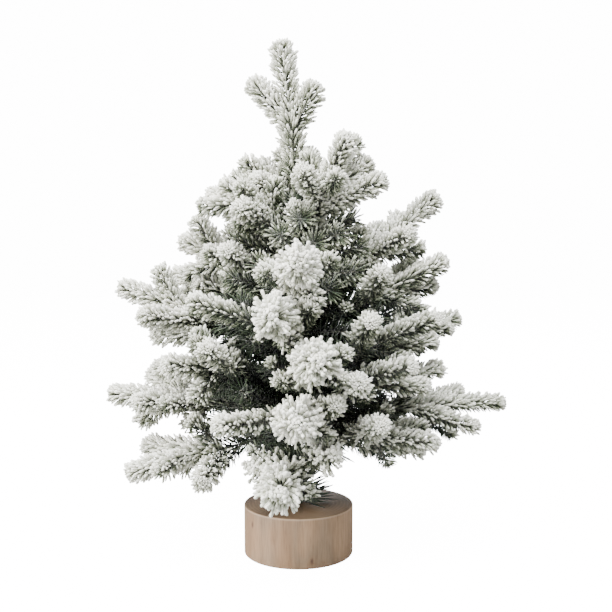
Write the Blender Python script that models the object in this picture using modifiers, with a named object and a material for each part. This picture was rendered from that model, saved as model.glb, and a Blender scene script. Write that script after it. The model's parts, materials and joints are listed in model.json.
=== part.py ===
# Snow-flocked artificial tabletop tree on a turned wooden base.
#
# A taped pole stands in a blind socket in the base. Every branch is a steel wire that
# is bound to the pole at its root, where it bends up and down, and carries side tips.
# The needles of a branch are one soft sleeve, bored for its wire. The leader is the
# upright wire at the top. Metres, +Z up, origin at the centre of the base's underside.

import math
from collections import namedtuple

import bpy
import bmesh
from mathutils import Euler, Matrix, Vector

# ---- wooden base
BASE_RADIUS = 0.0488
BASE_HEIGHT = 0.0445
BASE_EDGE = 0.0015            # small chamfer on both rims
BASE_STEPS = 48
SOCKET_DEPTH = 0.030          # blind hole for the pole

# ---- pole and the tape wound on it
POLE_RADIUS = 0.0035
POLE_FREE_LENGTH = 0.276      # from the base's top face to the pole's top
POLE_SIDES = 16
TAPE_THICKNESS = 0.0011
TAPE_END_MARGIN = 0.004       # bare pole left above the tape

# ---- bunch of bare needles round the pole's foot
FOOT_HEIGHT = 0.040
FOOT_RADIUS_LOW = 0.015
FOOT_RADIUS_HIGH = 0.0085
FOOT_CLEARANCE = 0.004        # from the foot needles up to the first branch
FOOT_STEPS = 16

# ---- branch wires
STEM_RADIUS = 0.0010
TIP_WIRE_RADIUS = 0.0008
ROOT_CLEARANCE = 0.0006       # between the tape and a wire that turns on its root

# ---- needle sleeves
ROOT_BARE = 0.022             # stem without a sleeve next to the pole
SLEEVE_RADIUS = 0.0070
FRONT_SLEEVE_RADIUS = 0.0082
TIP_SLEEVE_SHARE = 0.90       # side tips are a little thinner than the stem
TIP_COVER = 0.010             # needles past the end of each wire
BORE_CLEARANCE = 0.0003       # from a wire to the flats of its square bore

# ---- leader
LEADER_LENGTH = 0.133         # from the pole's top to the needle tips
LEADER_LEAN = 6.4             # degrees to the left
LEADER_BARE = 0.014

# ---- general
GAP = 0.0003                  # between faces that touch on the real object
SECTION_TURN = 0.35           # roll of a side tube's section against its stem's
TREE_COLLECTION = "tabletop_tree"

# height     place along the branched pole, 0 above the foot needles, 1 at its top
# bearing    degrees round the pole, 0 at +X and -90 at the front
# rise       degrees above level, from the root to the end
# length     straight from the root to the needle tips
# bow        how far the stem's middle arches up
# tips       side tips: share along the stem, swing to the left, lift, length
Branch = namedtuple("Branch", "name height bearing rise length bow tips")

BRANCHES = [
    Branch("top_branch_1", 0.80, -50, 58, 0.112, 0.002,
           [(0.40, -50, -5, 0.052), (0.35, 36, -28, 0.066), (0.45, 50, 2, 0.056)]),
    Branch("top_branch_2", 0.92, 150, 55, 0.061, 0.002,
           [(0.35, 58, -4, 0.036), (0.35, -44, 4, 0.042)]),
    Branch("top_branch_3", 0.82, -170, 40, 0.082, 0.002,
           [(0.40, 60, -15, 0.052), (0.40, -46, -10, 0.070)]),
    Branch("top_branch_4", 0.90, 75, 50, 0.078, 0.002,
           [(0.40, -45, -5, 0.042), (0.36, 24, -32, 0.050)]),
    Branch("upper_branch_1", 0.51, 0, 44, 0.163, 0.003,
           [(0.55, -47, -10, 0.048), (0.40, 46, 10, 0.066)]),
    Branch("upper_branch_2", 0.60, -90, 17, 0.135, 0.004,
           [(0.40, 40, 10, 0.050), (0.45, -36, -8, 0.052)]),
    Branch("upper_branch_3", 0.62, 168, 25, 0.115, 0.003,
           [(0.35, 75, 15, 0.064), (0.42, -34, 5, 0.072)]),
    Branch("upper_branch_4", 0.50, 152, 19, 0.137, 0.003,
           [(0.40, 45, 8, 0.052), (0.40, -40, 15, 0.075)]),
    Branch("upper_branch_5", 0.55, 70, 32, 0.130, 0.003,
           [(0.38, 42, 5, 0.062), (0.38, -42, -5, 0.062), (0.62, 36, -10, 0.046)]),
    Branch("middle_branch_1", 0.43, -7, 31, 0.146, 0.004,
           [(0.40, -62, 12, 0.082), (0.50, 46, 8, 0.060), (0.45, 12, -16, 0.066)]),
    Branch("middle_branch_2", 0.41, -98, 18, 0.148, 0.004,
           [(0.35, 24, 8, 0.070), (0.32, -54, 10, 0.095)]),
    Branch("middle_branch_3", 0.35, 175, 24, 0.172, 0.005,
           [(0.45, 40, -10, 0.076), (0.40, -32, 0, 0.092), (0.36, -4, -28, 0.075)]),
    Branch("middle_branch_4", 0.27, -25, 28, 0.142, 0.004,
           [(0.35, -50, 8, 0.102), (0.48, 38, -18, 0.066)]),
    Branch("middle_branch_5", 0.32, 18, 16, 0.160, 0.004,
           [(0.40, 34, 8, 0.095), (0.48, -28, -3, 0.068)]),
    Branch("middle_branch_6", 0.38, 100, 24, 0.148, 0.004,
           [(0.36, 44, 0, 0.078), (0.36, -44, 6, 0.078), (0.62, -34, -8, 0.050)]),
    Branch("lower_branch_1", 0.24, -84, 20, 0.154, 0.004,
           [(0.42, 34, 10, 0.056), (0.36, -28, -14, 0.060)]),
    Branch("lower_branch_2", 0.27, -150, 13, 0.127, 0.003,
           [(0.40, -50, -8, 0.088), (0.36, 36, 12, 0.088)]),
    Branch("lower_branch_3", 0.19, -40, 22, 0.128, 0.003,
           [(0.36, -42, -4, 0.098), (0.48, 30, -20, 0.066), (0.42, 60, -4, 0.094)]),
    Branch("lower_branch_4", 0.14, 172, 6.2, 0.172, 0.004,
           [(0.52, 42, 0, 0.062), (0.42, -34, 6, 0.094)]),
    Branch("lower_branch_5", 0.12, 4, 5, 0.183, 0.004,
           [(0.52, -36, -15, 0.068), (0.42, 36, 0, 0.098)]),
    Branch("lower_branch_6", 0.20, 62, 14, 0.164, 0.004,
           [(0.36, 42, -4, 0.084), (0.36, -42, 4, 0.084), (0.64, 34, -6, 0.050)]),
    Branch("bottom_branch_1", 0.13, -90, 12, 0.148, 0.003,
           [(0.36, 26, 8, 0.074), (0.36, -46, -4, 0.090)]),
    Branch("bottom_branch_2", 0.07, -168, -10, 0.149, 0.004,
           [(0.46, -40, 4, 0.080), (0.40, 62, -10, 0.068)]),
    Branch("bottom_branch_3", 0.06, -26, 4, 0.126, 0.003,
           [(0.36, -50, 16, 0.094), (0.42, 60, -18, 0.076)]),
    Branch("bottom_branch_4", 0.01, -96, -1, 0.124, 0.004,
           [(0.40, 44, 20, 0.066), (0.42, -40, 8, 0.050)]),
    Branch("bottom_branch_5", 0.10, 122, 5, 0.160, 0.004,
           [(0.36, 42, 4, 0.082), (0.36, -42, -4, 0.082), (0.64, -34, 4, 0.050)]),
    Branch("bottom_branch_6", 0.04, 42, -2, 0.150, 0.004,
           [(0.38, 42, -4, 0.078), (0.38, -44, 4, 0.078)]),
]
FRONT_BRANCHES = {"upper_branch_2", "middle_branch_2", "lower_branch_1",
                  "bottom_branch_1", "bottom_branch_4"}

# side tips of the leader: height along its wire, turn round it, swing out, length
LEADER_TIPS = [(0.45, 172, 37, 0.054), (0.39, -8, 34, 0.050), (0.26, 95, 40, 0.048)]

SQUARE_FLAT = math.cos(math.pi / 4)      # a square's flat over its corner radius
TAPE_RADIUS = POLE_RADIUS + GAP + TAPE_THICKNESS
HINGE_RADIUS = TAPE_RADIUS + STEM_RADIUS + ROOT_CLEARANCE
POLE_TOP = BASE_HEIGHT + POLE_FREE_LENGTH
BRANCHED_BOTTOM = BASE_HEIGHT + FOOT_HEIGHT + FOOT_CLEARANCE


def clear_scene():
    for obj in list(bpy.data.objects):
        bpy.data.objects.remove(obj, do_unlink=True)


def make_collection(name):
    collection = bpy.data.collections.new(name)
    bpy.context.scene.collection.children.link(collection)
    return collection


def make_material(name, color, roughness, metallic=0.0):
    material = bpy.data.materials.new(name)
    material.use_nodes = True
    shader = material.node_tree.nodes["Principled BSDF"]
    shader.inputs["Base Color"].default_value = (*color, 1.0)
    shader.inputs["Roughness"].default_value = roughness
    shader.inputs["Metallic"].default_value = metallic
    material.diffuse_color = (*color, 1.0)
    return material


def finish(obj, collection, material, parent=None):
    """Gives an object its material, its collection and its parent."""
    obj.data.materials.clear()
    obj.data.materials.append(material)
    collection.objects.link(obj)
    if parent is not None:
        obj.parent = parent
    return obj


def turned(name, profile, steps, closed=False):
    """A turned solid: a profile in the XZ plane with a Screw modifier round Z."""
    mesh = bpy.data.meshes.new(name)
    shape = bmesh.new()
    points = [shape.verts.new((x, 0.0, z)) for x, z in profile]
    for start, end in zip(points, points[1:]):
        shape.edges.new((start, end))
    if closed:
        shape.edges.new((points[-1], points[0]))
    shape.to_mesh(mesh)
    shape.free()
    obj = bpy.data.objects.new(name, mesh)
    screw = obj.modifiers.new("turn", "SCREW")
    screw.steps = steps
    screw.render_steps = steps
    screw.use_merge_vertices = True
    screw.merge_threshold = 0.00005
    screw.use_smooth_shade = True
    return obj


def tube(name, points, radii, resolution, turn=0.0):
    """A round tube along points, as a mesh with its end caps welded on.

    turn rolls the section, so that no edge of one tube lies on an edge of another.
    """
    curve = bpy.data.curves.new(name, "CURVE")
    curve.dimensions = "3D"
    curve.bevel_depth = 1.0
    curve.bevel_resolution = resolution
    curve.use_fill_caps = True
    curve.resolution_u = 1
    curve.render_resolution_u = 0
    spline = curve.splines.new("POLY")
    spline.points.add(len(points) - 1)
    for point, place, radius in zip(spline.points, points, radii):
        point.co = (*place, 1.0)
        point.radius = radius
        point.tilt = turn
    guide = bpy.data.objects.new(name, curve)
    scene = bpy.context.scene.collection
    scene.objects.link(guide)
    bpy.context.view_layer.update()
    graph = bpy.context.evaluated_depsgraph_get()
    mesh = bpy.data.meshes.new_from_object(guide.evaluated_get(graph))
    bpy.data.objects.remove(guide, do_unlink=True)
    shape = bmesh.new()
    shape.from_mesh(mesh)
    bmesh.ops.remove_doubles(shape, verts=shape.verts, dist=0.00001)
    bmesh.ops.recalc_face_normals(shape, faces=shape.faces)
    shape.to_mesh(mesh)
    shape.free()
    mesh.name = name
    return bpy.data.objects.new(name, mesh)


def combine(base, tools, operation):
    """Joins the tools to the base, or cuts them out of it, one after another."""
    scene = bpy.context.scene.collection
    scene.objects.link(base)
    for tool in tools:
        scene.objects.link(tool)
        boolean = base.modifiers.new("combine", "BOOLEAN")
        boolean.operation = operation
        boolean.object = tool
        bpy.context.view_layer.update()
        graph = bpy.context.evaluated_depsgraph_get()
        mesh = bpy.data.meshes.new_from_object(base.evaluated_get(graph))
        base.modifiers.clear()
        base.data = mesh
        bpy.data.objects.remove(tool, do_unlink=True)
    scene.objects.unlink(base)
    return base


def make_base(collection, material):
    hole = POLE_RADIUS + GAP
    floor = BASE_HEIGHT - SOCKET_DEPTH
    rim = BASE_RADIUS - BASE_EDGE
    profile = [(0.0, floor), (hole, floor), (hole, BASE_HEIGHT), (rim, BASE_HEIGHT),
               (BASE_RADIUS, BASE_HEIGHT - BASE_EDGE), (BASE_RADIUS, BASE_EDGE),
               (rim, 0.0), (0.0, 0.0)]
    return finish(turned("wood_base", profile, BASE_STEPS), collection, material)


def make_pole(collection, material):
    bottom = BASE_HEIGHT - SOCKET_DEPTH + GAP
    bpy.ops.mesh.primitive_cylinder_add(
        vertices=POLE_SIDES, radius=POLE_RADIUS, depth=POLE_TOP - bottom,
        location=(0.0, 0.0, (POLE_TOP + bottom) / 2))
    pole = bpy.context.active_object
    for holder in list(pole.users_collection):
        holder.objects.unlink(pole)
    pole.name = "center_pole"
    return finish(pole, collection, material)


def make_tape(collection, material):
    inner = POLE_RADIUS + GAP
    top = POLE_TOP - TAPE_END_MARGIN
    bottom = BASE_HEIGHT + GAP
    profile = [(inner, top), (TAPE_RADIUS, top), (TAPE_RADIUS, bottom), (inner, bottom)]
    tape = turned("pole_tape", profile, POLE_SIDES, closed=True)
    return finish(tape, collection, material)


def make_foot_needles(collection, material):
    inner = TAPE_RADIUS + GAP
    bottom = BASE_HEIGHT + GAP
    top = BASE_HEIGHT + FOOT_HEIGHT
    middle = bottom + FOOT_HEIGHT / 3
    profile = [(inner, top), (FOOT_RADIUS_HIGH, top), (FOOT_RADIUS_LOW, middle),
               (FOOT_RADIUS_LOW, bottom), (inner, bottom)]
    needles = turned("foot_needles", profile, FOOT_STEPS, closed=True)
    return finish(needles, collection, material)


def stem_points(length, rise, bow, start=0.0, steps=3):
    """Points of a stem that leaves the origin outwards along X and arches up."""
    along = Vector((math.cos(rise), 0.0, math.sin(rise)))
    up = Vector((-math.sin(rise), 0.0, math.cos(rise)))
    points = []
    for step in range(steps + 1):
        share = (start + (length - start) * step / steps) / length
        points.append(along * length * share + up * bow * 4 * share * (1 - share))
    return points


def tip_direction(rise, swing, lift):
    turn = Matrix.Rotation(-rise, 3, "Y") @ Matrix.Rotation(swing, 3, "Z")
    return turn @ Matrix.Rotation(-lift, 3, "Y") @ Vector((1.0, 0.0, 0.0))


def stem_place(length, rise, bow, share):
    along = Vector((math.cos(rise), 0.0, math.sin(rise)))
    up = Vector((-math.sin(rise), 0.0, math.cos(rise)))
    return along * length * share + up * bow * 4 * share * (1 - share)


def line(start, end, steps):
    return [start.lerp(end, step / steps) for step in range(steps + 1)]


def sleeve_radii(radius, steps, root_share=0.55):
    """Slim at the root, full over the middle and rounded down at the end."""
    radii = [radius] * (steps + 1)
    radii[0] = radius * root_share
    radii[-1] = radius * 0.45
    return radii


def sleeve_points(points):
    """Adds a ring close to the end, so that the sleeve has a round nose."""
    last = points[-1].lerp(points[-2], 0.18)
    return points[:-1] + [last, points[-1]]


def make_wire(name, stem, tips):
    wire = tube(name, stem, [STEM_RADIUS] * len(stem), 1)
    radii = [TIP_WIRE_RADIUS] * 2
    sides = [tube(name + "_tip", tip, radii, 1, SECTION_TURN) for tip in tips]
    return combine(wire, sides, "UNION")


def make_sleeve(name, stem, tips, bore_stem, bore_tips, radius):
    outline = sleeve_points(stem)
    sleeve = tube(name, outline, sleeve_radii(radius, len(outline) - 1), 1)
    sides = []
    for tip in tips:
        outline = sleeve_points(tip)
        radii = sleeve_radii(radius * TIP_SLEEVE_SHARE, len(outline) - 1, 0.7)
        sides.append(tube(name + "_side", outline, radii, 1, SECTION_TURN))
    combine(sleeve, sides, "UNION")
    bore = (STEM_RADIUS + BORE_CLEARANCE) / SQUARE_FLAT
    tools = [tube(name + "_bore", bore_stem, [bore] * len(bore_stem), 0)]
    radii = [(TIP_WIRE_RADIUS + BORE_CLEARANCE) / SQUARE_FLAT] * 2
    tools += [tube(name + "_bore", tip, radii, 0, SECTION_TURN) for tip in bore_tips]
    return combine(sleeve, tools, "DIFFERENCE")


def shorten(points, distance):
    """Moves the last point back along the line."""
    back = (points[-2] - points[-1]).normalized() * distance
    return points[:-1] + [points[-1] + back]


def make_branch(branch, collection, wire_material, needle_material):
    rise = math.radians(branch.rise)
    bearing = math.radians(branch.bearing)
    height = BRANCHED_BOTTOM + (POLE_TOP - BRANCHED_BOTTOM) * branch.height
    hinge = bpy.data.objects.new(branch.name + "_hinge", None)
    collection.objects.link(hinge)
    hinge.location = (HINGE_RADIUS * math.cos(bearing), HINGE_RADIUS * math.sin(bearing),
                      height)
    hinge.rotation_euler = Euler((0.0, 0.0, bearing))
    stem = stem_points(branch.length, rise, branch.bow)
    sleeve = stem_points(branch.length, rise, branch.bow, ROOT_BARE)
    tips = []
    for share, swing, lift, length in branch.tips:
        start = stem_place(branch.length, rise, branch.bow, share)
        toward = tip_direction(rise, math.radians(swing), math.radians(lift))
        tips.append((start, start + toward * length))
    wire_tips = [shorten([start, end], TIP_COVER) for start, end in tips]
    bore_end = TIP_COVER - 2 * BORE_CLEARANCE
    bore_tips = [shorten([start, end], bore_end) for start, end in tips]
    wire = make_wire(branch.name + "_wire", shorten(stem, TIP_COVER), wire_tips)
    finish(wire, collection, wire_material, hinge)
    front = branch.name in FRONT_BRANCHES
    radius = FRONT_SLEEVE_RADIUS if front else SLEEVE_RADIUS
    needles = make_sleeve(branch.name + "_needles", sleeve,
                          [line(start, end, 2) for start, end in tips],
                          shorten(stem, bore_end), bore_tips, radius)
    finish(needles, collection, needle_material, hinge)


def make_leader(collection, wire_material, needle_material):
    hinge = bpy.data.objects.new("leader_hinge", None)
    collection.objects.link(hinge)
    hinge.location = (0.0, 0.0, POLE_TOP + GAP + STEM_RADIUS)
    hinge.rotation_euler = Euler((0.0, -math.radians(LEADER_LEAN), 0.0))
    up = Vector((0.0, 0.0, LEADER_LENGTH))
    stem = line(Vector((0.0, 0.0, 0.0)), up, 2)
    sleeve = line(Vector((0.0, 0.0, LEADER_BARE)), up, 3)
    tips = []
    for share, turn, swing, length in LEADER_TIPS:
        start = up * share
        turned_out = Matrix.Rotation(math.radians(turn), 3, "Z")
        toward = turned_out @ Vector((math.sin(math.radians(swing)), 0.0,
                                      math.cos(math.radians(swing))))
        tips.append((start, start + toward * length))
    wire_tips = [shorten([start, end], TIP_COVER) for start, end in tips]
    bore_end = TIP_COVER - 2 * BORE_CLEARANCE
    bore_tips = [shorten([start, end], bore_end) for start, end in tips]
    wire = make_wire("leader_wire", shorten(stem, TIP_COVER), wire_tips)
    finish(wire, collection, wire_material, hinge)
    bore_stem = [Vector((0.0, 0.0, 0.0))] + shorten(stem, bore_end)[1:]
    needles = make_sleeve("leader_needles", sleeve,
                          [line(start, end, 2) for start, end in tips],
                          bore_stem, bore_tips, SLEEVE_RADIUS)
    finish(needles, collection, needle_material, hinge)


def main():
    clear_scene()
    collection = make_collection(TREE_COLLECTION)
    wood = make_material("whitewashed_wood", (0.45, 0.34, 0.26), 0.7)
    pole = make_material("pole_steel", (0.08, 0.10, 0.07), 0.5, 0.6)
    tape = make_material("green_tape", (0.05, 0.08, 0.04), 0.8)
    wire = make_material("stem_wire", (0.13, 0.14, 0.10), 0.5, 0.7)
    bare = make_material("bare_needles", (0.06, 0.10, 0.05), 0.6)
    flock = make_material("flocked_needles", (0.80, 0.80, 0.77), 0.95)
    make_base(collection, wood)
    make_pole(collection, pole)
    make_tape(collection, tape)
    make_foot_needles(collection, bare)
    for branch in BRANCHES:
        make_branch(branch, collection, wire, flock)
    make_leader(collection, wire, flock)
    bpy.context.view_layer.update()


main()
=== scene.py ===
import json
import math
import random

import bpy
import bmesh
import numpy as np
from mathutils import Matrix, Vector, noise


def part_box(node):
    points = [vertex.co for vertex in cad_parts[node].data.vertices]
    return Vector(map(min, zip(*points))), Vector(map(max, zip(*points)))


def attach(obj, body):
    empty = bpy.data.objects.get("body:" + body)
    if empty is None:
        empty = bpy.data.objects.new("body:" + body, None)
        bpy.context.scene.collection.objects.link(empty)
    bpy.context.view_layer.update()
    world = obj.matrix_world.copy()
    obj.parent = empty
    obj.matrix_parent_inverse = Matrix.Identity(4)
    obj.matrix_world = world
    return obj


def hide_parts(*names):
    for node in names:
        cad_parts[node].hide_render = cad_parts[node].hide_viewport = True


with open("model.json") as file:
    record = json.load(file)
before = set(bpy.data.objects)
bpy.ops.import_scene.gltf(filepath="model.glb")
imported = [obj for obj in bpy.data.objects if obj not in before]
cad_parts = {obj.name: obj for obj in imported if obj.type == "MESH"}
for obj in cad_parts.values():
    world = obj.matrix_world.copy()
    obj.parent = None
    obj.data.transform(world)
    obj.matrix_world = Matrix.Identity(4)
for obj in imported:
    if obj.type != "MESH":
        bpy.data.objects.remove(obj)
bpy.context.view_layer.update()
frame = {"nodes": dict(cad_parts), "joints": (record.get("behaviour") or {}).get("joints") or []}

scene = bpy.context.scene
baseLow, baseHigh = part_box("wood_base")
poleLow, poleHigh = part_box("center_pole")
tapeLow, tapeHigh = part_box("pole_tape")
footLow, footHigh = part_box("foot_needles")
up = Vector((0, 0, 1))
goldenAngle = math.pi * (3 - math.sqrt(5))


def newPiece(name, work, material, body, replaced=()):
    # turns a bmesh into a finished piece that rides on its body
    mesh = bpy.data.meshes.new(name)
    work.to_mesh(mesh)
    work.free()
    mesh.materials.append(material)
    mesh.shade_smooth()
    piece = bpy.data.objects.new(name, mesh)
    scene.collection.objects.link(piece)
    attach(piece, body)
    if replaced:
        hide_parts(*replaced)
    return piece


def newMaterial(name, roughness, sheen=0.0, specular=0.5):
    material = bpy.data.materials.new(name)
    material.use_nodes = True
    shader = material.node_tree.nodes["Principled BSDF"]
    shader.inputs["Roughness"].default_value = roughness
    shader.inputs["Sheen Weight"].default_value = sheen
    shader.inputs["Specular IOR Level"].default_value = specular
    return material, material.node_tree, shader


def addNode(tree, kind, settings=None, inputs=None):
    node = tree.nodes.new(kind)
    for key, value in (settings or {}).items():
        setattr(node, key, value)
    for key, value in (inputs or {}).items():
        if hasattr(value, "is_output"):
            tree.links.new(value, node.inputs[key])
        else:
            node.inputs[key].default_value = value
    return node


def colorRamp(tree, factor, stops):
    node = addNode(tree, "ShaderNodeValToRGB", inputs={"Fac": factor})
    ramp = node.color_ramp
    while len(ramp.elements) < len(stops):
        ramp.elements.new(0.5)
    for element, (position, color) in zip(ramp.elements, stops):
        element.position = position
        element.color = (*color, 1)
    return node.outputs["Color"]


def mathNode(tree, operation, first, second):
    return addNode(tree, "ShaderNodeMath", {"operation": operation},
                   {0: first, 1: second}).outputs[0]


def mixColor(tree, factor, first, second, blend="MIX"):
    node = addNode(tree, "ShaderNodeMix", {"data_type": "RGBA", "blend_type": blend},
                   {0: factor, 6: first, 7: second})
    return node.outputs[2]


needleLook = {
    "cells": 24,                         # needles share this many strips of the map
    "stripShare": 0.8,                   # of its strip that a needle fills
    # colors by how much flock lies on a needle, from none to full
    "flock": [(0.12, (0.009, 0.022, 0.006)), (0.32, (0.044, 0.062, 0.027)),
              (0.47, (0.25, 0.275, 0.195)), (0.66, (0.60, 0.62, 0.535)),
              (0.95, (0.87, 0.87, 0.82))],
    "grain": (170, 14, 1),               # fine speckle round and along a needle
    "speckle": (-0.22, 0.17),            # flock that the speckle takes away and adds
    "toneGrain": (0.9, 1.2),             # slow change of tone from needle to needle
    "dull": (0.86, 0.85, 0.82),          # tone of the duller ones
    "roughness": (0.5, 0.97),            # bare and flocked
    "bump": 0.0004,
}


def makeNeedleMaterial():
    # U of the map runs round a needle, V is how thick the flock lies on it
    material, tree, shader = newMaterial("flockedNeedle", 0.9, sheen=0.25, specular=0.2)
    uv = addNode(tree, "ShaderNodeUVMap", {"uv_map": "OFBake"}).outputs[0]
    fineMap = addNode(tree, "ShaderNodeMapping", inputs={
        "Vector": uv, "Scale": needleLook["grain"]}).outputs[0]
    fine = addNode(tree, "ShaderNodeTexNoise", inputs={
        "Vector": fineMap, "Scale": 1.0, "Detail": 3.0}).outputs["Fac"]
    toneAround, toneAlong = needleLook["toneGrain"]
    toneMap = addNode(tree, "ShaderNodeMapping", inputs={
        "Vector": uv, "Scale": (needleLook["cells"] * toneAround, toneAlong, 1)}).outputs[0]
    tone = addNode(tree, "ShaderNodeTexNoise", inputs={
        "Vector": toneMap, "Scale": 1.0, "Detail": 0.0}).outputs["Fac"]
    height = addNode(tree, "ShaderNodeSeparateXYZ", inputs={"Vector": uv}).outputs["Y"]
    taken, added = needleLook["speckle"]
    speckle = addNode(tree, "ShaderNodeMapRange", inputs={
        "Value": fine, "From Min": 0.34, "From Max": 0.66,
        "To Min": taken, "To Max": added}).outputs[0]
    cover = mathNode(tree, "ADD", height, speckle)
    color = colorRamp(tree, cover, needleLook["flock"])
    shade = colorRamp(tree, tone, [(0.35, needleLook["dull"]), (0.65, (1, 1, 1))])
    toned = mixColor(tree, 1.0, color, shade, "MULTIPLY")
    tree.links.new(toned, shader.inputs["Base Color"])
    bareRough, flockRough = needleLook["roughness"]
    rough = addNode(tree, "ShaderNodeMapRange", inputs={
        "Value": cover, "From Min": 0.2, "From Max": 0.5,
        "To Min": bareRough, "To Max": flockRough}).outputs[0]
    tree.links.new(rough, shader.inputs["Roughness"])
    bump = addNode(tree, "ShaderNodeBump", inputs={
        "Height": fine, "Strength": 0.5, "Distance": needleLook["bump"]}).outputs[0]
    tree.links.new(bump, shader.inputs["Normal"])
    return material


needleShapes = {
    # each is copied along the stems: stations are (height, radius) of a needle of unit
    # length and unit half-width, lump and bend are shares of that half-width
    "burst": {"sides": 5, "flat": 0.95, "copies": 12, "lump": 0.30, "bend": 0.40,
              "stations": [(0.0, 0.24), (0.34, 0.40), (0.50, 0.90), (0.60, 0.62),
                           (0.74, 1.05), (0.83, 0.80), (0.94, 1.20), (1.0, 0.70)]},
    "snow": {"sides": 4, "flat": 0.90, "copies": 10, "lump": 0.30, "bend": 0.40,
             "stations": [(0.0, 0.30), (0.38, 0.50), (0.64, 1.0), (0.88, 1.20), (1.0, 0.64)]},
    "thin": {"sides": 3, "flat": 0.75, "copies": 5, "lump": 0.10, "bend": 0.48,
             "stations": [(0.0, 0.5), (0.40, 0.85), (0.82, 1.0), (1.0, 0.5)]},
    "bare": {"sides": 3, "flat": 0.5, "copies": 4, "lump": 0.0, "bend": 0.56,
             "stations": [(0.0, 0.8), (0.60, 0.95), (1.0, 0.25)]},
}


def makeNeedleShape(name, shape, rng):
    # a small disc is drawn out ring by ring along Z, then lumped and bent towards +X
    work = bmesh.new()
    stations = shape["stations"]
    bmesh.ops.create_circle(work, cap_ends=True, segments=shape["sides"],
                            radius=stations[0][1])
    tip = list(work.faces)[0]
    if tip.normal.z < 0:
        bmesh.ops.reverse_faces(work, faces=[tip])
    foot = bmesh.ops.duplicate(work, geom=list(work.faces))
    lowFaces = [part for part in foot["geom"] if isinstance(part, bmesh.types.BMFace)]
    bmesh.ops.reverse_faces(work, faces=lowFaces)
    for (low, lowWidth), (high, highWidth) in zip(stations, stations[1:]):
        drawn = bmesh.ops.extrude_face_region(work, geom=[tip])
        bmesh.ops.delete(work, geom=[tip], context="FACES_ONLY")
        tip = [part for part in drawn["geom"] if isinstance(part, bmesh.types.BMFace)][0]
        ring = list(tip.verts)
        bmesh.ops.translate(work, verts=ring, vec=(0, 0, high - low))
        grown = highWidth / lowWidth
        bmesh.ops.scale(work, verts=ring, vec=(grown, grown, 1))
    bmesh.ops.remove_doubles(work, verts=work.verts, dist=1e-5)
    for vert in work.verts:
        vert.co.x *= 1 + rng.uniform(-1, 1) * shape["lump"]
        vert.co.y *= (1 + rng.uniform(-1, 1) * shape["lump"]) * shape["flat"]
    bmesh.ops.recalc_face_normals(work, faces=work.faces)
    layer = work.loops.layers.uv.new("OFBake")
    for face in work.faces:
        center = face.calc_center_median()
        cap = abs(face.normal.z) > 0.8 and (center.z < 0.01 or center.z > 0.9)
        middle = math.atan2(center.y, center.x)
        for loop in face.loops:
            place = loop.vert.co
            turn = math.atan2(place.y, place.x) - middle
            turn = (turn + math.pi) % (2 * math.pi) - math.pi
            if cap:     # the two ends lie small at the foot and the head of the strip
                middleV = 0.03 if center.z < 0.5 else 0.97
                loop[layer].uv = (0.5 + 0.2 * place.x, middleV + 0.02 * place.y)
            else:
                loop[layer].uv = (0.5 + (middle + turn) / (2 * math.pi), place.z)
    for vert in work.verts:
        vert.co.x += shape["bend"] * vert.co.z ** 2
    mesh = bpy.data.meshes.new(name)
    work.to_mesh(mesh)
    work.free()
    return mesh


shapeRng = random.Random(11)
needleMeshes = {
    kind: [makeNeedleShape(kind + str(n), shape, shapeRng) for n in range(shape["copies"])]
    for kind, shape in needleShapes.items()}
shapeMaps = {}
for meshes in needleMeshes.values():
    for mesh in meshes:
        flat = np.empty(len(mesh.loops) * 2, dtype=np.float32)
        mesh.uv_layers["OFBake"].uv.foreach_get("vector", flat)
        shapeMaps[mesh.name] = flat.reshape(-1, 2)
print("needle shapes made")


def addNeedle(work, kind, root, toward, curl, length, width, flock, rng):
    # one copy of a needle shape, with flock = (at its root, at its end)
    shape = rng.choice(needleMeshes[kind])
    side = toward.cross(curl)
    if side.length < 1e-4:
        side = toward.orthogonal()
    side.normalize()
    front = side.cross(toward).normalized()
    turn = Matrix((front, side, toward)).transposed()
    place = (Matrix.Translation(root) @ turn.to_4x4()
             @ Matrix.Diagonal((width, width, length, 1)))
    copy = shape.copy()
    copy.transform(place)
    cells, filled = needleLook["cells"], needleLook["stripShare"]
    low, high = flock
    uv = shapeMaps[shape.name] * ((filled / cells, high - low))
    uv += ((rng.randrange(cells) + (1 - filled) / 2) / cells, low)
    copy.uv_layers["OFBake"].uv.foreach_set("vector", uv.astype(np.float32).ravel())
    work.from_mesh(copy)
    bpy.data.meshes.remove(copy)


wireRing = {"corners": 6, "longestSide": 0.0021, "flatness": 0.0001}


def wireEnds(node):
    # a frame wire's rings of corners: its cut ends, and the plain rings between them
    work = bmesh.new()
    work.from_mesh(frame["nodes"][node].data)
    bmesh.ops.remove_doubles(work, verts=work.verts, dist=1e-6)
    seen, ends, rings = set(), [], []
    for start in work.verts:
        if start in seen:
            continue
        group, queue = {start}, [start]
        while queue:
            for edge in queue.pop().link_edges:
                if edge.calc_length() > wireRing["longestSide"]:
                    continue
                for vert in edge.verts:
                    if vert not in group:
                        group.add(vert)
                        queue.append(vert)
        seen |= group
        if len(group) != wireRing["corners"]:
            continue
        center = sum((vert.co for vert in group), Vector()) / len(group)
        spokes = [vert.co - center for vert in group]
        normal = max((spokes[0].cross(spoke) for spoke in spokes), key=lambda n: n.length)
        normal.normalize()
        if max(abs(spoke.dot(normal)) for spoke in spokes) > wireRing["flatness"]:
            continue
        away = [edge.other_vert(vert).co - center for vert in group
                for edge in vert.link_edges if edge.other_vert(vert) not in group]
        sides = [offset.dot(normal) for offset in away]
        radius = spokes[0].length
        if min(sides) > 0 or max(sides) < 0:
            ends.append((center, normal if max(sides) < 0 else -normal, radius))
        else:
            rings.append((center, radius))
    work.free()
    return ends, rings


def stemPoint(stem, share):
    start, end, bow = stem
    return start.lerp(end, share) + bow * 4 * share * (1 - share)


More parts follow.
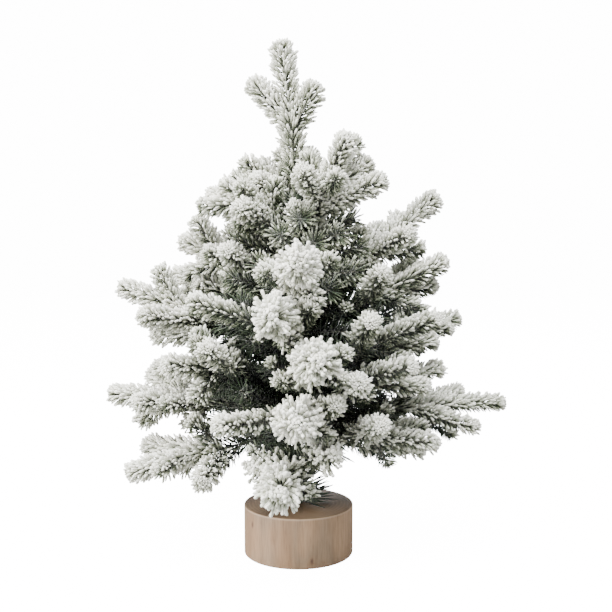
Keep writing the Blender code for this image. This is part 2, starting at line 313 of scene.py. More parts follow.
def stemToward(stem, share):
    start, end, bow = stem
    return ((end - start) + bow * 4 * (1 - 2 * share)).normalized()


def readBranch(body, joint):
    # the stem as (root, end, bow) and its side tips as (start, end, no bow)
    ends, rings = wireEnds(body + "_wire")
    ends.sort(key=lambda end: -end[2])
    root = Vector(joint["pos_m"])
    thick = sorted(ends[:2], key=lambda end: (end[0] - root).length)
    stem = [thick[0][0], thick[1][0], Vector()]
    plain = [center for center, radius in rings
             if abs(radius - thick[0][2]) < wireRing["flatness"]]
    if plain:
        chord = stem[1] - stem[0]
        middle = min(plain, key=lambda c: abs((c - root).length / chord.length - 0.6))
        share = (middle - stem[0]).dot(chord) / chord.length_squared
        stem[2] = (middle - stem[0].lerp(stem[1], share)) / (4 * share * (1 - share))
    tips = []
    for end, outward, radius in ends[2:]:
        shares = [0.15 + 0.7 * step / 60 for step in range(61)]    # where a tip may branch off

        def miss(share):
            offset = stemPoint(stem, share) - end
            return (offset - outward * offset.dot(outward)).length

        joined = stemPoint(stem, min(shares, key=miss))
        tips.append((joined, end, Vector()))
    return tuple(stem), tips


brush = {
    "cover": 0.010,              # needles past the end of a wire
    "spacing": 0.00021,          # along an outer stem
    "innerSpacing": 0.00036,     # near the pole
    "length": 0.0142,
    "innerLength": 0.022,
    "innerShare": 0.8,           # how far the inner needles grow towards that length
    "endLength": 0.0120,
    "endStretch": 0.008,         # of a stem, over which they shorten to it
    "reach": (0.88, 1.02),       # of its length that a needle gets
    "tilt": 49,                  # degrees from the stem, along it and at its end
    "endTilt": 46,
    "tiltSpread": 10,
    "turnSpread": 0.25,          # radians round the stem
    "width": 0.00088,            # half-width of a flocked needle
    "clump": 0.20,               # how far neighbours lean together
    "clumpSize": 150,
    "clumpAway": 0.008,          # from the stem, where their clumps are read
    "sag": 0.06,
    "flock": (0.16, 0.74),       # below a stem, and what its upper side adds
    "flockSpread": (-0.25, 0.23),
    "closing": 44,               # needles that close an end
    "closingFlock": 0.55,
}
# the branches that point to the front and end in round bursts
burst = {
    "length": 0.0215,
    "reach": (0.50, 1.02),
    "tilt": 62,
    "width": 0.00112,
    "clump": 0.75,
    "clumpSize": 95,
    "clumpAway": 0.012,
    "flock": (0.42, -0.34),      # added below and taken off above, so all sides are white
    "crowding": 0.68,            # of the plain spacing
    "closing": 26,
    # size, lean and duller side tips of single branches
    "size": {"upper_branch_2": 1.0, "middle_branch_2": 1.0, "lower_branch_1": 1.02,
             "bottom_branch_1": 1.02, "bottom_branch_4": 1.16},
    "lean": {"bottom_branch_4": (-0.26, 0.0, -0.10)},
    "tipSize": {"bottom_branch_4": 0.82},
    "tipDim": {"upper_branch_2": 0.30, "middle_branch_2": 0.12, "lower_branch_1": 0.15},
}
# flock by place in the crown, in metres from the pole's line and above the table; its left and
# right terms paint light and shade
crown = {
    "bareTo": 0.048,             # nearly bare inside this
    "snowFrom": 0.105,           # fully flocked outside this
    "high": (0.20, 0.31),        # the rise over which both draw in
    "bareDrawn": 1.6,
    "snowDrawn": 0.72,
    "highSnow": 0.26,            # more flock high up
    "leftPaintedLight": 0.34,            # painted light: more flock on the left, the side the key light falls on
    "left": (0.02, 0.11),
    "rightPaintedShade": 0.17,           # painted shade: less flock on the right, the side away from the key light
    "right": (0.02, 0.09),
    "endSnow": 0.12,             # more at the far ends
    "ends": (0.10, 0.15),
    "leaderSnow": 0.08,
    "leader": (0.33, 0.37),
    "more": {"lower_branch_3": 0.16, "bottom_branch_3": 0.26, "middle_branch_4": 0.10,
             "bottom_branch_2": 0.10},
}


def smooth(low, high, value):
    share = min(max((value - low) / (high - low), 0.0), 1.0)
    return share * share * (3 - 2 * share)


def clumpLean(place, seed, size):
    # neighbouring needles are drawn the same way, so that the flock sets in clumps
    offset = Vector((seed * 3.1, seed * 1.7, seed * 5.3))
    return noise.noise_vector(place * size + offset)


def flockAt(place):
    # how far out of the crown's dark middle a place is, from 0 to 1, and its extra flock, which
    # includes painted light on the left and painted shade on the right
    away = math.hypot(place.x, place.y)
    high = smooth(*crown["high"], place.z)
    inside = crown["bareTo"] * (1 - crown["bareDrawn"] * high)
    outside = crown["snowFrom"] * (1 - crown["snowDrawn"] * high)
    outer = smooth(inside, outside, away)
    # more flock on the left is painted light, less flock on the right is painted shade
    extra = (crown["highSnow"] * high + crown["leftPaintedLight"] * smooth(*crown["left"], -place.x)
             + crown["endSnow"] * smooth(*crown["ends"], away)
             + crown["leaderSnow"] * smooth(*crown["leader"], place.z)
             - crown["rightPaintedShade"] * smooth(*crown["right"], place.x) * (1 - high))
    return outer, extra * outer


def brushStem(work, stem, startShare, burstSize, rng, seed, dim=0.0, lean=(0, 0, 0)):
    # needles in a long spiral round a stem; a burst size of 0 makes a plain brush
    start, end, bow = stem
    kind = {**brush, **burst} if burstSize else brush
    length = (end - start).length
    travel = startShare * length
    count = 0
    while travel < length:
        share = travel / length
        place = stemPoint(stem, share)
        toward = stemToward(stem, share)
        outer, extra = flockAt(place)
        step = brush["innerSpacing"] + (brush["spacing"] - brush["innerSpacing"]) * outer
        nearEnd = smooth(brush["endStretch"], 0.0, length - travel)
        around = count * goldenAngle + rng.uniform(-brush["turnSpread"], brush["turnSpread"])
        side = toward.cross(up)
        if side.length < 0.05:      # an upright stem
            side = Vector((1, 0, 0))
        side.normalize()
        over = side.cross(toward)
        radial = side * math.cos(around) + over * math.sin(around)
        tilt = kind["tilt"] + (brush["endTilt"] - kind["tilt"]) * nearEnd ** 1.5
        tilt = math.radians(tilt + rng.uniform(-brush["tiltSpread"], brush["tiltSpread"]))
        long = kind["length"] * (burstSize or 1)
        long += (brush["innerLength"] - long) * (1 - outer) * brush["innerShare"]
        long += (brush["endLength"] - long) * nearEnd
        long *= rng.uniform(*kind["reach"])
        heading = toward * math.cos(tilt) + radial * math.sin(tilt)
        heading += kind["clump"] * clumpLean(
            place + radial * kind["clumpAway"], seed, kind["clumpSize"])
        heading += Vector(lean)
        heading.z -= brush["sag"] * outer
        heading.normalize()
        topSide = 0.5 + 0.5 * radial.z
        below, above = brush["flock"]
        snow = outer * (below + above * topSide) + rng.uniform(*brush["flockSpread"])
        snow += extra - dim
        if burstSize:
            below, above = burst["flock"]
            snow += (below + above * topSide) * outer
        addFlocked(work, place, heading, toward, long, snow, burstSize, rng)
        if burstSize:
            step *= burst["crowding"] / max(burstSize, 0.9) ** 2
        travel += step * (1 + max(dim, 0.0)) * rng.uniform(0.8, 1.2)
        count += 1
    # a few needles close the end of the stem
    closing = int(kind["closing"] * (1 - max(dim, 0.0)))
    for turn in range(closing):
        around = turn * goldenAngle
        toward = stemToward(stem, 1.0)
        side = toward.orthogonal().normalized()
        radial = Matrix.Rotation(around, 3, toward) @ side
        tilt = math.radians(4 + 50 * (turn / closing) ** 0.5)
        heading = (toward * math.cos(tilt) + radial * math.sin(tilt)).normalized()
        long = brush["cover"] * rng.uniform(0.55 if burstSize else 0.80, 1.0)
        snow = brush["closingFlock"] + 0.3 * heading.z + rng.uniform(-0.2, 0.2) - dim
        if burstSize:
            snow += 0.2
        addFlocked(work, end, heading, toward, long, snow, burstSize, rng)


# which needle shape a place gets by its flock, and how the flock widens and covers it
flocked = {
    "from": 0.42,                # flock at which a needle is a thick lumpy one
    "thinFrom": 0.12,            # and below which it is bare
    "rootGap": 0.0006,           # from the stem's line to a needle's root
    "grow": (0.85, 0.42),        # width and cover: a start, and what full flock adds
    "growSpread": 0.12,
    "tip": (0.58, 0.40),
    "tipSpread": 0.12,
    "root": (0.05, 0.24),
    "thinSize": (0.80, 0.90),    # width and length against a thick one's
    "thinRoot": 0.10,
    "thinTip": (0.34, 0.60),
    "thinTipSpread": 0.06,
    "bareSize": (0.75, 0.85),
    "bareTip": (0.10, 0.7),
    "hanging": 0.72,             # thin needles that hang low in the crown are shorter
}


def addFlocked(work, place, heading, toward, long, snow, burstSize, rng):
    width = burst["width"] if burstSize else brush["width"]
    root = place + heading * flocked["rootGap"]
    if snow > flocked["from"]:
        start, added = flocked["grow"]
        spread = flocked["growSpread"]
        grow = start + added * min(snow, 1.0) + rng.uniform(-spread, spread)
        start, added = flocked["tip"]
        spread = flocked["tipSpread"]
        high = min(start + added * snow + rng.uniform(-spread, spread), 1.0)
        start, added = flocked["root"]
        addNeedle(work, "burst" if burstSize else "snow", root, heading, toward, long,
                  width * grow, (start + added * snow, high), rng)
        return
    if heading.z < -0.2 and place.z < crown["high"][0]:
        long *= flocked["hanging"]
    if snow > flocked["thinFrom"]:
        wide, reach = flocked["thinSize"]
        start, added = flocked["thinTip"]
        spread = flocked["thinTipSpread"]
        cover = (flocked["thinRoot"], start + added * snow + rng.uniform(-spread, spread))
        addNeedle(work, "thin", root, heading, toward, long * reach, width * wide, cover, rng)
    else:
        wide, reach = flocked["bareSize"]
        start, added = flocked["bareTip"]
        addNeedle(work, "bare", root, heading, toward, long * reach, width * wide,
                  (0.0, start + added * max(snow, 0)), rng)


wireTwist = {
    "pitch": 0.0060,
    "strand": 0.00052,           # radius of one of the two strands
    "apart": 0.95,               # how far they stand off the middle, in strand radii
    "perTurn": 4,                # points of a strand in one turn
    "sides": 1,
    "paint": (0.045, 0.05, 0.03),
    "worn": (0.12, 0.12, 0.09),
    "bright": (0.40, 0.40, 0.36),
}


def twistedWire(name, stems, body, material, replaced, perTurn=wireTwist["perTurn"]):
    # two strands wound round each other, as a curve that is made a mesh
    curve = bpy.data.curves.new(name, "CURVE")
    curve.dimensions = "3D"
    curve.bevel_depth = wireTwist["strand"]
    curve.bevel_resolution = wireTwist["sides"]
    curve.use_fill_caps = True
    for stem in stems:
        length = (stem[1] - stem[0]).length
        steps = max(4, int(length / wireTwist["pitch"] * perTurn))
        for strand in (0, math.pi):
            spline = curve.splines.new("POLY")
            spline.points.add(steps)
            for step, point in enumerate(spline.points):
                share = step / steps
                toward = stemToward(stem, share)
                side = toward.cross(up if abs(toward.z) < 0.95 else Vector((0, 1, 0)))
                side.normalize()
                turn = strand + 2 * math.pi * share * length / wireTwist["pitch"]
                offset = Matrix.Rotation(turn, 3, toward) @ side
                center = stemPoint(stem, share)
                center += offset * wireTwist["strand"] * wireTwist["apart"]
                point.co = (*center, 1)
    guide = bpy.data.objects.new(name + "_guide", curve)
    scene.collection.objects.link(guide)
    bpy.context.view_layer.update()
    graph = bpy.context.evaluated_depsgraph_get()
    mesh = bpy.data.meshes.new_from_object(guide.evaluated_get(graph))
    bpy.data.objects.remove(guide, do_unlink=True)
    work = bmesh.new()
    work.from_mesh(mesh)
    bmesh.ops.remove_doubles(work, verts=work.verts, dist=1e-6)
    bmesh.ops.recalc_face_normals(work, faces=work.faces)
    return newPiece(name, work, material, body, replaced)


def makeWireMaterial():
    material, tree, shader = newMaterial("twistedWire", 0.55, specular=0.4)
    place = addNode(tree, "ShaderNodeTexCoord").outputs["Object"]
    patch = addNode(tree, "ShaderNodeTexNoise", inputs={
        "Vector": place, "Scale": 900.0, "Detail": 2.0}).outputs["Fac"]
    color = colorRamp(tree, patch, [(0.35, wireTwist["paint"]), (0.55, wireTwist["worn"]),
                                    (0.72, wireTwist["bright"])])
    tree.links.new(color, shader.inputs["Base Color"])
    bump = addNode(tree, "ShaderNodeBump", inputs={
        "Height": patch, "Strength": 0.4, "Distance": 0.0002}).outputs[0]
    tree.links.new(bump, shader.inputs["Normal"])
    return material


needleMaterial = makeNeedleMaterial()
wireMaterial = makeWireMaterial()
jointOf = {joint["child"]: joint for joint in frame["joints"]}


twigs = {
    "count": 5,
    "burstCount": 2,
    "from": 0.14,                # share of the stem where they start and end
    "to": 0.74,
    "length": 0.036,
    "reach": (0.75, 1.1),
    "angle": 48,                 # degrees from the stem
    "angleSpread": 8,
    "turnSpread": 0.4,
    "dim": 0.25,                 # less flock than on the stem
    "more": {"middle_branch_3": 8, "lower_branch_2": 8, "upper_branch_4": 7,
             "lower_branch_4": 7, "top_branch_3": 7, "upper_branch_3": 8,
             "middle_branch_6": 8, "bottom_branch_5": 7, "lower_branch_6": 7},
}


def addTwigs(stem, count, rng):
    # short side twigs that fill the inner half of a branch
    start, end, bow = stem
    made = []
    for number in range(count):
        share = twigs["from"] + (twigs["to"] - twigs["from"]) * (number + 0.5) / count
        toward = stemToward(stem, share)
        side = toward.cross(up)
        if side.length < 0.2:
            side = toward.cross(Vector((0, 1, 0)))
        side.normalize()
        turn = number * goldenAngle + rng.uniform(-twigs["turnSpread"], twigs["turnSpread"])
        radial = Matrix.Rotation(turn, 3, toward) @ side
        spread = twigs["angleSpread"]
        angle = math.radians(twigs["angle"] + rng.uniform(-spread, spread))
        heading = toward * math.cos(angle) + radial * math.sin(angle)
        root = stemPoint(stem, share)
        length = twigs["length"] * rng.uniform(*twigs["reach"])
        made.append((root, root + heading * length, Vector()))
    return made


def makeBranch(body, seed):
    stem, tips = readBranch(body, jointOf[body])
    rng = random.Random(seed)
    work = bmesh.new()
    size = burst["size"].get(body, 0.0)
    more = crown["more"].get(body, 0.0)
    brushStem(work, stem, 0.06, size, rng, seed, -more, burst["lean"].get(body, (0, 0, 0)))
    for number, tip in enumerate(tips):
        brushStem(work, tip, 0.03, burst["tipSize"].get(body, 0.0), rng,
                  seed + 0.1 * (number + 1), burst["tipDim"].get(body, -more))
    small = []
    if body != "leader":
        count = twigs["burstCount" if size else "count"]
        small = addTwigs(stem, twigs["more"].get(body, count), rng)
    for number, twig in enumerate(small):
        brushStem(work, twig, 0.05, 0.0, rng, seed + 0.1 * (number + 6), twigs["dim"])
    needles = len(work.faces)
    newPiece(body + "_flocked_needles", work, needleMaterial, body,
             (body + "_needles",))
    twistedWire(body + "_twisted_wire", [stem] + tips + small, body, wireMaterial,
                (body + "_wire",))
    return needles


faceTotal = 0
for number, body in enumerate(sorted(jointOf)):
    faceTotal += makeBranch(body, 100 + number)
print("branches made,", faceTotal, "needle faces")


poleNeedles = {
    "spacing": 0.00026,
    "length": 0.025,
    "reach": (0.8, 1.1),
    "tilt": 58,                  # degrees from upright
    "tiltSpread": 14,
    "turnSpread": 0.3,
    "width": 0.0009,
    "footLength": 0.030,         # longer and flatter at the foot
    "footHeight": 0.020,
    "footTilt": 34,
    "footCrowding": 0.6,
    "clump": 0.2,
    "flockSpread": (-0.1, 0.30),
    "highFlock": 0.45,
    "high": (0.17, 0.30),
    "neckFlock": 0.25,           # and a little just over the foot
    "neck": (0.055, 0.075, 0.08, 0.12),
}


poleSprays = {
    "count": 94,
    "from": 0.082,
    "to": 0.292,
    "length": 0.073,
    "taper": (1.15, 0.5),        # length at the bottom, and what is gone at the top
    "reach": (0.85, 1.1),
    "tilt": 74,                  # degrees from upright
    "tiltSpread": 12,
    "lowLength": 0.35,           # shorter low down, where light passes under the crown
    "low": (0.08, 0.14),
    "bare": 0.006,
    "spacing": 0.00052,
    "needle": 0.0165,
    "needleReach": (0.8, 1.1),
    "lean": 50,                  # degrees of a needle from its twig
    "leanSpread": 12,
    "width": 0.00105,
    "flockSpread": (-0.1, 0.26),
    "highFlock": 0.55,
    "high": (0.18, 0.26),
    "thinFrom": 0.16,
}


def addPoleSprays(work, rng):
    # thin bare twigs all round the pole, which close the middle of the crown
    stems = []
    for number in range(poleSprays["count"]):
        share = (number + 0.5) / poleSprays["count"]
        height = poleSprays["from"] + (poleSprays["to"] - poleSprays["from"]) * share
        around = number * goldenAngle
        spread = poleSprays["tiltSpread"]
        tilt = math.radians(poleSprays["tilt"] + rng.uniform(-spread, spread))
        outward = Vector((math.cos(around), math.sin(around), 0))
        heading = outward * math.sin(tilt) + up * math.cos(tilt)
        root = outward * tapeHigh.x + up * height
        start, lost = poleSprays["taper"]
        long = poleSprays["length"] * (start - lost * share) * rng.uniform(*poleSprays["reach"])
        low = poleSprays["lowLength"]
        long *= low + (1 - low) * smooth(*poleSprays["low"], height)
        stems.append((root, root + heading * long, Vector()))
        travel, count = poleSprays["bare"], 0
        side = heading.orthogonal().normalized()
        while travel < long:
            radial = Matrix.Rotation(count * goldenAngle, 3, heading) @ side
            spread = poleSprays["leanSpread"]
            lean = math.radians(poleSprays["lean"] + rng.uniform(-spread, spread))
            needle = heading * math.cos(lean) + radial * math.sin(lean)
            snow = rng.uniform(*poleSprays["flockSpread"])
            snow += poleSprays["highFlock"] * smooth(*poleSprays["high"], height)
            addNeedle(work, "thin" if snow > poleSprays["thinFrom"] else "bare",
                      root + heading * travel, needle, heading,
                      poleSprays["needle"] * rng.uniform(*poleSprays["needleReach"]),
                      poleSprays["width"], (0.0, 0.08 + 0.8 * max(snow, 0)), rng)
            travel += poleSprays["spacing"] * rng.uniform(0.8, 1.2)
            count += 1
    return stems


def makePoleNeedles():
    rng = random.Random(5)
    sprays = bmesh.new()
    stems = addPoleSprays(sprays, rng)
    newPiece("pole_spray_needles", sprays, needleMaterial, "tree_trunk")
    work = bmesh.new()
    height = footLow.z + 0.002
    radius = tapeHigh.x
    neckFrom, neckFull, neckEnd, neckTo = poleNeedles["neck"]
    count = 0
    while height < tapeHigh.z:
        spread = poleNeedles["turnSpread"]
        around = count * goldenAngle + rng.uniform(-spread, spread)
        outward = Vector((math.cos(around), math.sin(around), 0))
        foot = smooth(footLow.z + poleNeedles["footHeight"], footLow.z, height)
        spread = poleNeedles["tiltSpread"]
        tilt = math.radians(poleNeedles["tilt"] + rng.uniform(-spread, spread)
                            + poleNeedles["footTilt"] * foot)
        heading = outward * math.sin(tilt) + up * math.cos(tilt)
        heading += poleNeedles["clump"] * clumpLean(
            Vector((around, height * 30, 0)), 2.0, brush["clumpSize"])
        heading.normalize()
        heading.z = max(heading.z, -0.02)       # none digs into the block
        long = poleNeedles["length"]
        long += (poleNeedles["footLength"] - long) * foot
        snow = rng.uniform(*poleNeedles["flockSpread"])
        snow += poleNeedles["highFlock"] * smooth(*poleNeedles["high"], height)
        snow += (poleNeedles["neckFlock"] * smooth(neckFrom, neckFull, height)
                 * smooth(neckTo, neckEnd, height))
        kind = "snow" if snow > 0.5 else "thin" if snow > 0.24 else "bare"
        addNeedle(work, kind, outward * radius + up * height, heading, up,
                  long * rng.uniform(*poleNeedles["reach"]), poleNeedles["width"],
                  (0.02, 0.08 + 0.6 * max(snow, 0)), rng)
        height += poleNeedles["spacing"] * (1 - poleNeedles["footCrowding"] * foot)
        count += 1
    newPiece("pole_bare_needles", work, needleMaterial, "tree_trunk",
             ("foot_needles",))
    twistedWire("pole_twig_wires", stems, "tree_trunk", wireMaterial, (), 3)


makePoleNeedles()
print("pole needles made")


wood = {
    "edge": 0.0012,              # rounding of both rims
    "edgeSteps": 4,
    "socketGap": 0.0003,
    "steps": 128,
    "pale": (0.33, 0.215, 0.130),
    "mid": (0.235, 0.147, 0.086),
    "dark": (0.135, 0.080, 0.046),
    "grey": (0.215, 0.158, 0.108),
    # end grain of the top face: its own darker tone plus painted shadow from the crown
    "shadedEndGrain": [(0.0, (0.120, 0.078, 0.044)), (0.7, (0.138, 0.090, 0.052)),
                 (1.0, (0.152, 0.099, 0.058))],
    "rim": (0.56, 0.42, 0.31),   # paler line round the top
    "rimPaleShare": 0.35,
    "knot": (0.07, 0.035, 0.022),
    "knotSize": 0.0022,
    "knotWear": 0.75,
    "knots": [(-145, 0.033), (-76, 0.007), (40, 0.025), (150, 0.015)],  # bearing, height
}


def makeBaseMesh():
    radius, top = baseHigh.x, baseHigh.z
    hole = poleHigh.x + wood["socketGap"]
    edge = wood["edge"]
    outline = [(hole, poleLow.z), (hole, top)]
    for step in range(wood["edgeSteps"] + 1):
        turn = math.pi / 2 * step / wood["edgeSteps"]
        outline.append((radius - edge + edge * math.sin(turn),
                        top - edge + edge * math.cos(turn)))
    for step in range(wood["edgeSteps"] + 1):
        turn = math.pi / 2 * step / wood["edgeSteps"]
        outline.append((radius - edge + edge * math.cos(turn), edge - edge * math.sin(turn)))
    outline = [(0.0, poleLow.z)] + outline + [(0.0, 0.0)]
    work = bmesh.new()
    points = [work.verts.new((x, 0, z)) for x, z in outline]
    edges = [work.edges.new(pair) for pair in zip(points, points[1:])]
    bmesh.ops.spin(work, geom=points + edges, cent=(0, 0, 0), axis=(0, 0, 1),
                   angle=2 * math.pi, steps=wood["steps"], use_merge=True)
    bmesh.ops.remove_doubles(work, verts=work.verts, dist=1e-6)
    bmesh.ops.recalc_face_normals(work, faces=work.faces)
    return work


def makeWoodMaterial():
    material, tree, shader = newMaterial("turnedWood", 0.62, specular=0.35)
    place = addNode(tree, "ShaderNodeTexCoord").outputs["Object"]
    # long streaks down the side, broad patches, and fine pores
    streakMap = addNode(tree, "ShaderNodeMapping", inputs={
        "Vector": place, "Scale": (1, 1, 0.05)}).outputs[0]
    streak = addNode(tree, "ShaderNodeTexNoise", inputs={
        "Vector": streakMap, "Scale": 150.0, "Detail": 4.0, "Roughness": 0.6}).outputs["Fac"]
    patchMap = addNode(tree, "ShaderNodeMapping", inputs={
        "Vector": place, "Scale": (1, 1, 0.35)}).outputs[0]
    patch = addNode(tree, "ShaderNodeTexNoise", inputs={
        "Vector": patchMap, "Scale": 32.0, "Detail": 2.0}).outputs["Fac"]
    poreMap = addNode(tree, "ShaderNodeMapping", inputs={
        "Vector": place, "Scale": (1, 1, 0.08)}).outputs[0]
    pore = addNode(tree, "ShaderNodeTexNoise", inputs={
        "Vector": poreMap, "Scale": 900.0, "Detail": 2.0}).outputs["Fac"]
    grain = colorRamp(tree, streak, [(0.30, wood["dark"]), (0.45, wood["mid"]),
                                     (0.62, wood["pale"])])
    tint = colorRamp(tree, patch, [(0.38, wood["mid"]), (0.50, wood["grey"]),
                                   (0.62, wood["pale"])])
    color = mixColor(tree, 0.62, grain, tint)
    fine = colorRamp(tree, pore, [(0.35, (0.80, 0.78, 0.76)), (0.55, (1, 1, 1))])
    color = mixColor(tree, 0.8, color, fine, "MULTIPLY")
    # end grain rings on the top face, darker as end grain is, with the crown's shadow painted in
    # as well
    rings = addNode(tree, "ShaderNodeTexWave",
                    {"wave_type": "RINGS", "rings_direction": "Z"},
                    {"Vector": place, "Scale": 95.0, "Distortion": 3.0,
                     "Detail": 2.0, "Detail Scale": 1.0}).outputs["Fac"]
    shadedEndGrain = colorRamp(tree, rings, wood["shadedEndGrain"])
    split = addNode(tree, "ShaderNodeSeparateXYZ", inputs={"Vector": place})
    onTop = addNode(tree, "ShaderNodeMapRange", inputs={
        "Value": split.outputs["Z"], "From Min": baseHigh.z - 0.0006,
        "From Max": baseHigh.z - 0.0002}).outputs[0]
    color = mixColor(tree, onTop, color, shadedEndGrain)
    # a thin paler line round the top rim
    rim = addNode(tree, "ShaderNodeMapRange", inputs={
        "Value": split.outputs["Z"], "From Min": baseHigh.z - 0.0022,
        "From Max": baseHigh.z - 0.0010}).outputs[0]
    rimFade = mathNode(tree, "MULTIPLY", rim, mathNode(tree, "SUBTRACT", 1.0, onTop))
    rimFade = mathNode(tree, "MULTIPLY", rimFade, wood["rimPaleShare"])
    color = mixColor(tree, rimFade, color, (*wood["rim"], 1))
    for bearing, height in wood["knots"]:
        turn = math.radians(bearing)
        middle = (baseHigh.x * math.cos(turn), baseHigh.x * math.sin(turn), height)
        offset = addNode(tree, "ShaderNodeVectorMath", {"operation": "SUBTRACT"},
                         {0: place, 1: middle}).outputs[0]
        squeezed = addNode(tree, "ShaderNodeVectorMath", {"operation": "MULTIPLY"},
                           {0: offset, 1: (1, 1, 0.55)}).outputs[0]
        distance = addNode(tree, "ShaderNodeVectorMath", {"operation": "LENGTH"},
                           {0: squeezed}).outputs["Value"]
        mark = addNode(tree, "ShaderNodeMapRange", inputs={
            "Value": distance, "From Min": wood["knotSize"], "From Max": 0.0006,
            "To Max": wood["knotWear"]}).outputs[0]
        color = mixColor(tree, mark, color, (*wood["knot"], 1))
    tree.links.new(color, shader.inputs["Base Color"])
    rough = addNode(tree, "ShaderNodeMapRange", inputs={
        "Value": streak, "To Min": 0.72, "To Max": 0.52}).outputs[0]
    tree.links.new(rough, shader.inputs["Roughness"])
    bump = addNode(tree, "ShaderNodeBump", inputs={
        "Height": pore, "Strength": 0.25, "Distance": 0.0002}).outputs[0]
    tree.links.new(bump, shader.inputs["Normal"])
    return material


newPiece("turned_wood_base", makeBaseMesh(), makeWoodMaterial(), "tree_trunk",
         ("wood_base",)).data.set_sharp_from_angle(angle=math.radians(50))
print("base made")


tape = {
    "width": 0.010,
    "overlap": 0.8,              # rise of a turn, as a share of the width
    "thickness": 0.0004,
    "lift": 0.0003,              # the lower edge tucks under the turn before
    "steps": 18,
    # painted shade: the tape is darker in its creases
    "creaseShade": (0.02, 0.032, 0.014),
    "plain": (0.05, 0.07, 0.035),
}


def makeTapeMesh():
    # one slanted band, wound up the pole as an overlapping spiral
    radius = tapeHigh.x - tape["thickness"]
    rise = tape["width"] * tape["overlap"]
    turns = int((tapeHigh.z - tapeLow.z - tape["width"]) / rise)
    work = bmesh.new()
    low = work.verts.new((radius - tape["lift"], 0, tapeLow.z))
    high = work.verts.new((radius, 0, tapeLow.z + tape["width"]))
    strip = work.edges.new((low, high))
    bmesh.ops.spin(work, geom=[low, high, strip], cent=(0, 0, 0), axis=(0, 0, 1),
                   dvec=(0, 0, rise / tape["steps"]), angle=2 * math.pi * turns,
                   steps=tape["steps"] * turns)
    bmesh.ops.recalc_face_normals(work, faces=work.faces)
    bmesh.ops.solidify(work, geom=list(work.faces), thickness=tape["thickness"] / 2)
    bmesh.ops.recalc_face_normals(work, faces=work.faces)
    return work


def makeTapeMaterial():
    material, tree, shader = newMaterial("woundTape", 0.85, sheen=0.1, specular=0.3)
    place = addNode(tree, "ShaderNodeTexCoord").outputs["Object"]
    crease = addNode(tree, "ShaderNodeTexNoise", inputs={
        "Vector": place, "Scale": 600.0, "Detail": 3.0}).outputs["Fac"]
    # painted shade in the creases, over the plain tape colour
    color = colorRamp(tree, crease, [(0.35, tape["creaseShade"]), (0.6, tape["plain"])])
    tree.links.new(color, shader.inputs["Base Color"])
    bump = addNode(tree, "ShaderNodeBump", inputs={
        "Height": crease, "Strength": 0.5, "Distance": 0.0003}).outputs[0]
    tree.links.new(bump, shader.inputs["Normal"])
    return material


newPiece("wound_tape", makeTapeMesh(), makeTapeMaterial(), "tree_trunk",
         ("pole_tape",))
polePaint = {"dark": (0.02, 0.035, 0.018), "worn": (0.06, 0.075, 0.05)}
poleMaterial, poleTree, poleShader = newMaterial("paintedPole", 0.5)
polePlace = addNode(poleTree, "ShaderNodeTexCoord").outputs["Object"]
poleSpots = addNode(poleTree, "ShaderNodeTexNoise", inputs={
    "Vector": polePlace, "Scale": 400.0, "Detail": 3.0}).outputs["Fac"]
poleColor = colorRamp(poleTree, poleSpots, [(0.4, polePaint["dark"]), (0.7, polePaint["worn"])])
poleTree.links.new(poleColor, poleShader.inputs["Base Color"])
poleMesh = frame["nodes"]["center_pole"].data
poleMesh.materials.clear()
poleMesh.materials.append(poleMaterial)
print("pole and tape made")


studio = {
    "cameraPlace": (0.0067, -0.83, 0.2925),
    "cameraPitch": 4.86,         # degrees down
    "lens": 55.4,
    "floorSize": 6.0,
    "white": (0.36, 0.36, 0.35),
    "floorGlow": 15.0,           # the camera alone sees floor and sky this bright
    "skyForCamera": 15.0,
    "skyLight": 0.30,            # what the sky gives the tree
    # place, aimed at, size, power, color
    "lights": [
        ((-1.75, -0.85, 1.0), (0, 0, 0.24), 1.2, 168, (1.0, 0.985, 0.96)),
        ((0.1, -0.7, 1.9), (0, 0, 0.24), 1.2, 142, (1.0, 1.0, 1.0)),
        ((1.5, -0.6, 0.6), (0, 0, 0.22), 0.9, 6, (0.97, 0.98, 1.0)),
        ((0.5, 1.7, 1.2), (0, 0, 0.24), 0.9, 40, (1.0, 1.0, 1.0)),
    ],
}


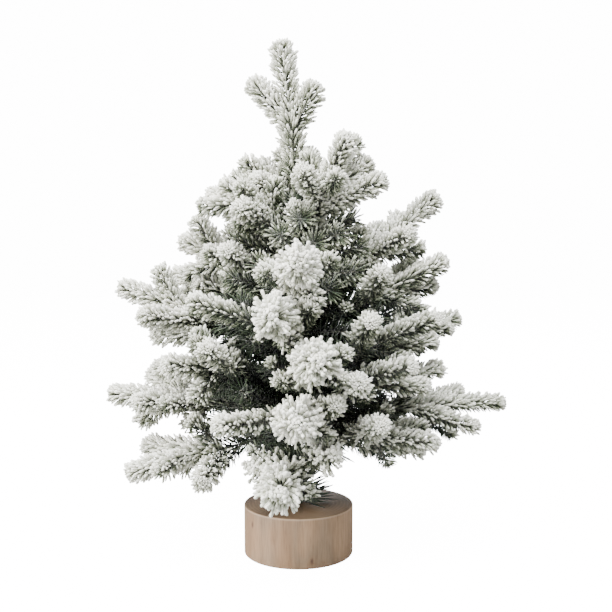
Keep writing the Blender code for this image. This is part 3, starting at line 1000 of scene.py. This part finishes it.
def makeCamera():
    data = bpy.data.cameras.new("camera")
    data.lens = studio["lens"]
    data.sensor_width = 36
    camera = bpy.data.objects.new("camera", data)
    camera.location = studio["cameraPlace"]
    camera.rotation_euler = (math.radians(90 - studio["cameraPitch"]), 0, 0)
    scene.collection.objects.link(camera)
    scene.camera = camera


def makeLights():
    for number, (place, target, size, power, color) in enumerate(studio["lights"]):
        data = bpy.data.lights.new("softbox" + str(number), "AREA")
        data.size = size
        data.energy = power
        data.color = color
        light = bpy.data.objects.new(data.name, data)
        light.location = place
        toward = Vector(target) - Vector(place)
        light.rotation_euler = toward.to_track_quat("-Z", "Y").to_euler()
        scene.collection.objects.link(light)


def makeSurroundings():
    # floor and sky are seen as one even white, and light the tree only softly
    world = bpy.data.worlds.new("studio")
    scene.world = world
    world.use_nodes = True
    tree = world.node_tree
    tree.nodes.clear()
    seen = addNode(tree, "ShaderNodeLightPath").outputs["Is Camera Ray"]
    strength = addNode(tree, "ShaderNodeMapRange", inputs={
        "Value": seen, "To Min": studio["skyLight"], "To Max": studio["skyForCamera"]})
    sky = addNode(tree, "ShaderNodeBackground", inputs={
        "Color": (1, 1, 1, 1), "Strength": strength.outputs[0]})
    out = addNode(tree, "ShaderNodeOutputWorld")
    tree.links.new(sky.outputs[0], out.inputs["Surface"])
    work = bmesh.new()
    bmesh.ops.create_grid(work, x_segments=1, y_segments=1, size=studio["floorSize"] / 2)
    mesh = bpy.data.meshes.new("floor")
    work.to_mesh(mesh)
    work.free()
    floor = bpy.data.objects.new("floor", mesh)
    scene.collection.objects.link(floor)
    material, tree, shader = newMaterial("paleFloor", 0.9, specular=0.1)
    shader.inputs["Base Color"].default_value = (*studio["white"], 1)
    shader.inputs["Emission Color"].default_value = (1, 1, 1, 1)
    seen = addNode(tree, "ShaderNodeLightPath").outputs["Is Camera Ray"]
    glow = mathNode(tree, "MULTIPLY", seen, studio["floorGlow"])
    tree.links.new(glow, shader.inputs["Emission Strength"])
    mesh.materials.append(material)


makeCamera()
makeLights()
makeSurroundings()
print("studio made")
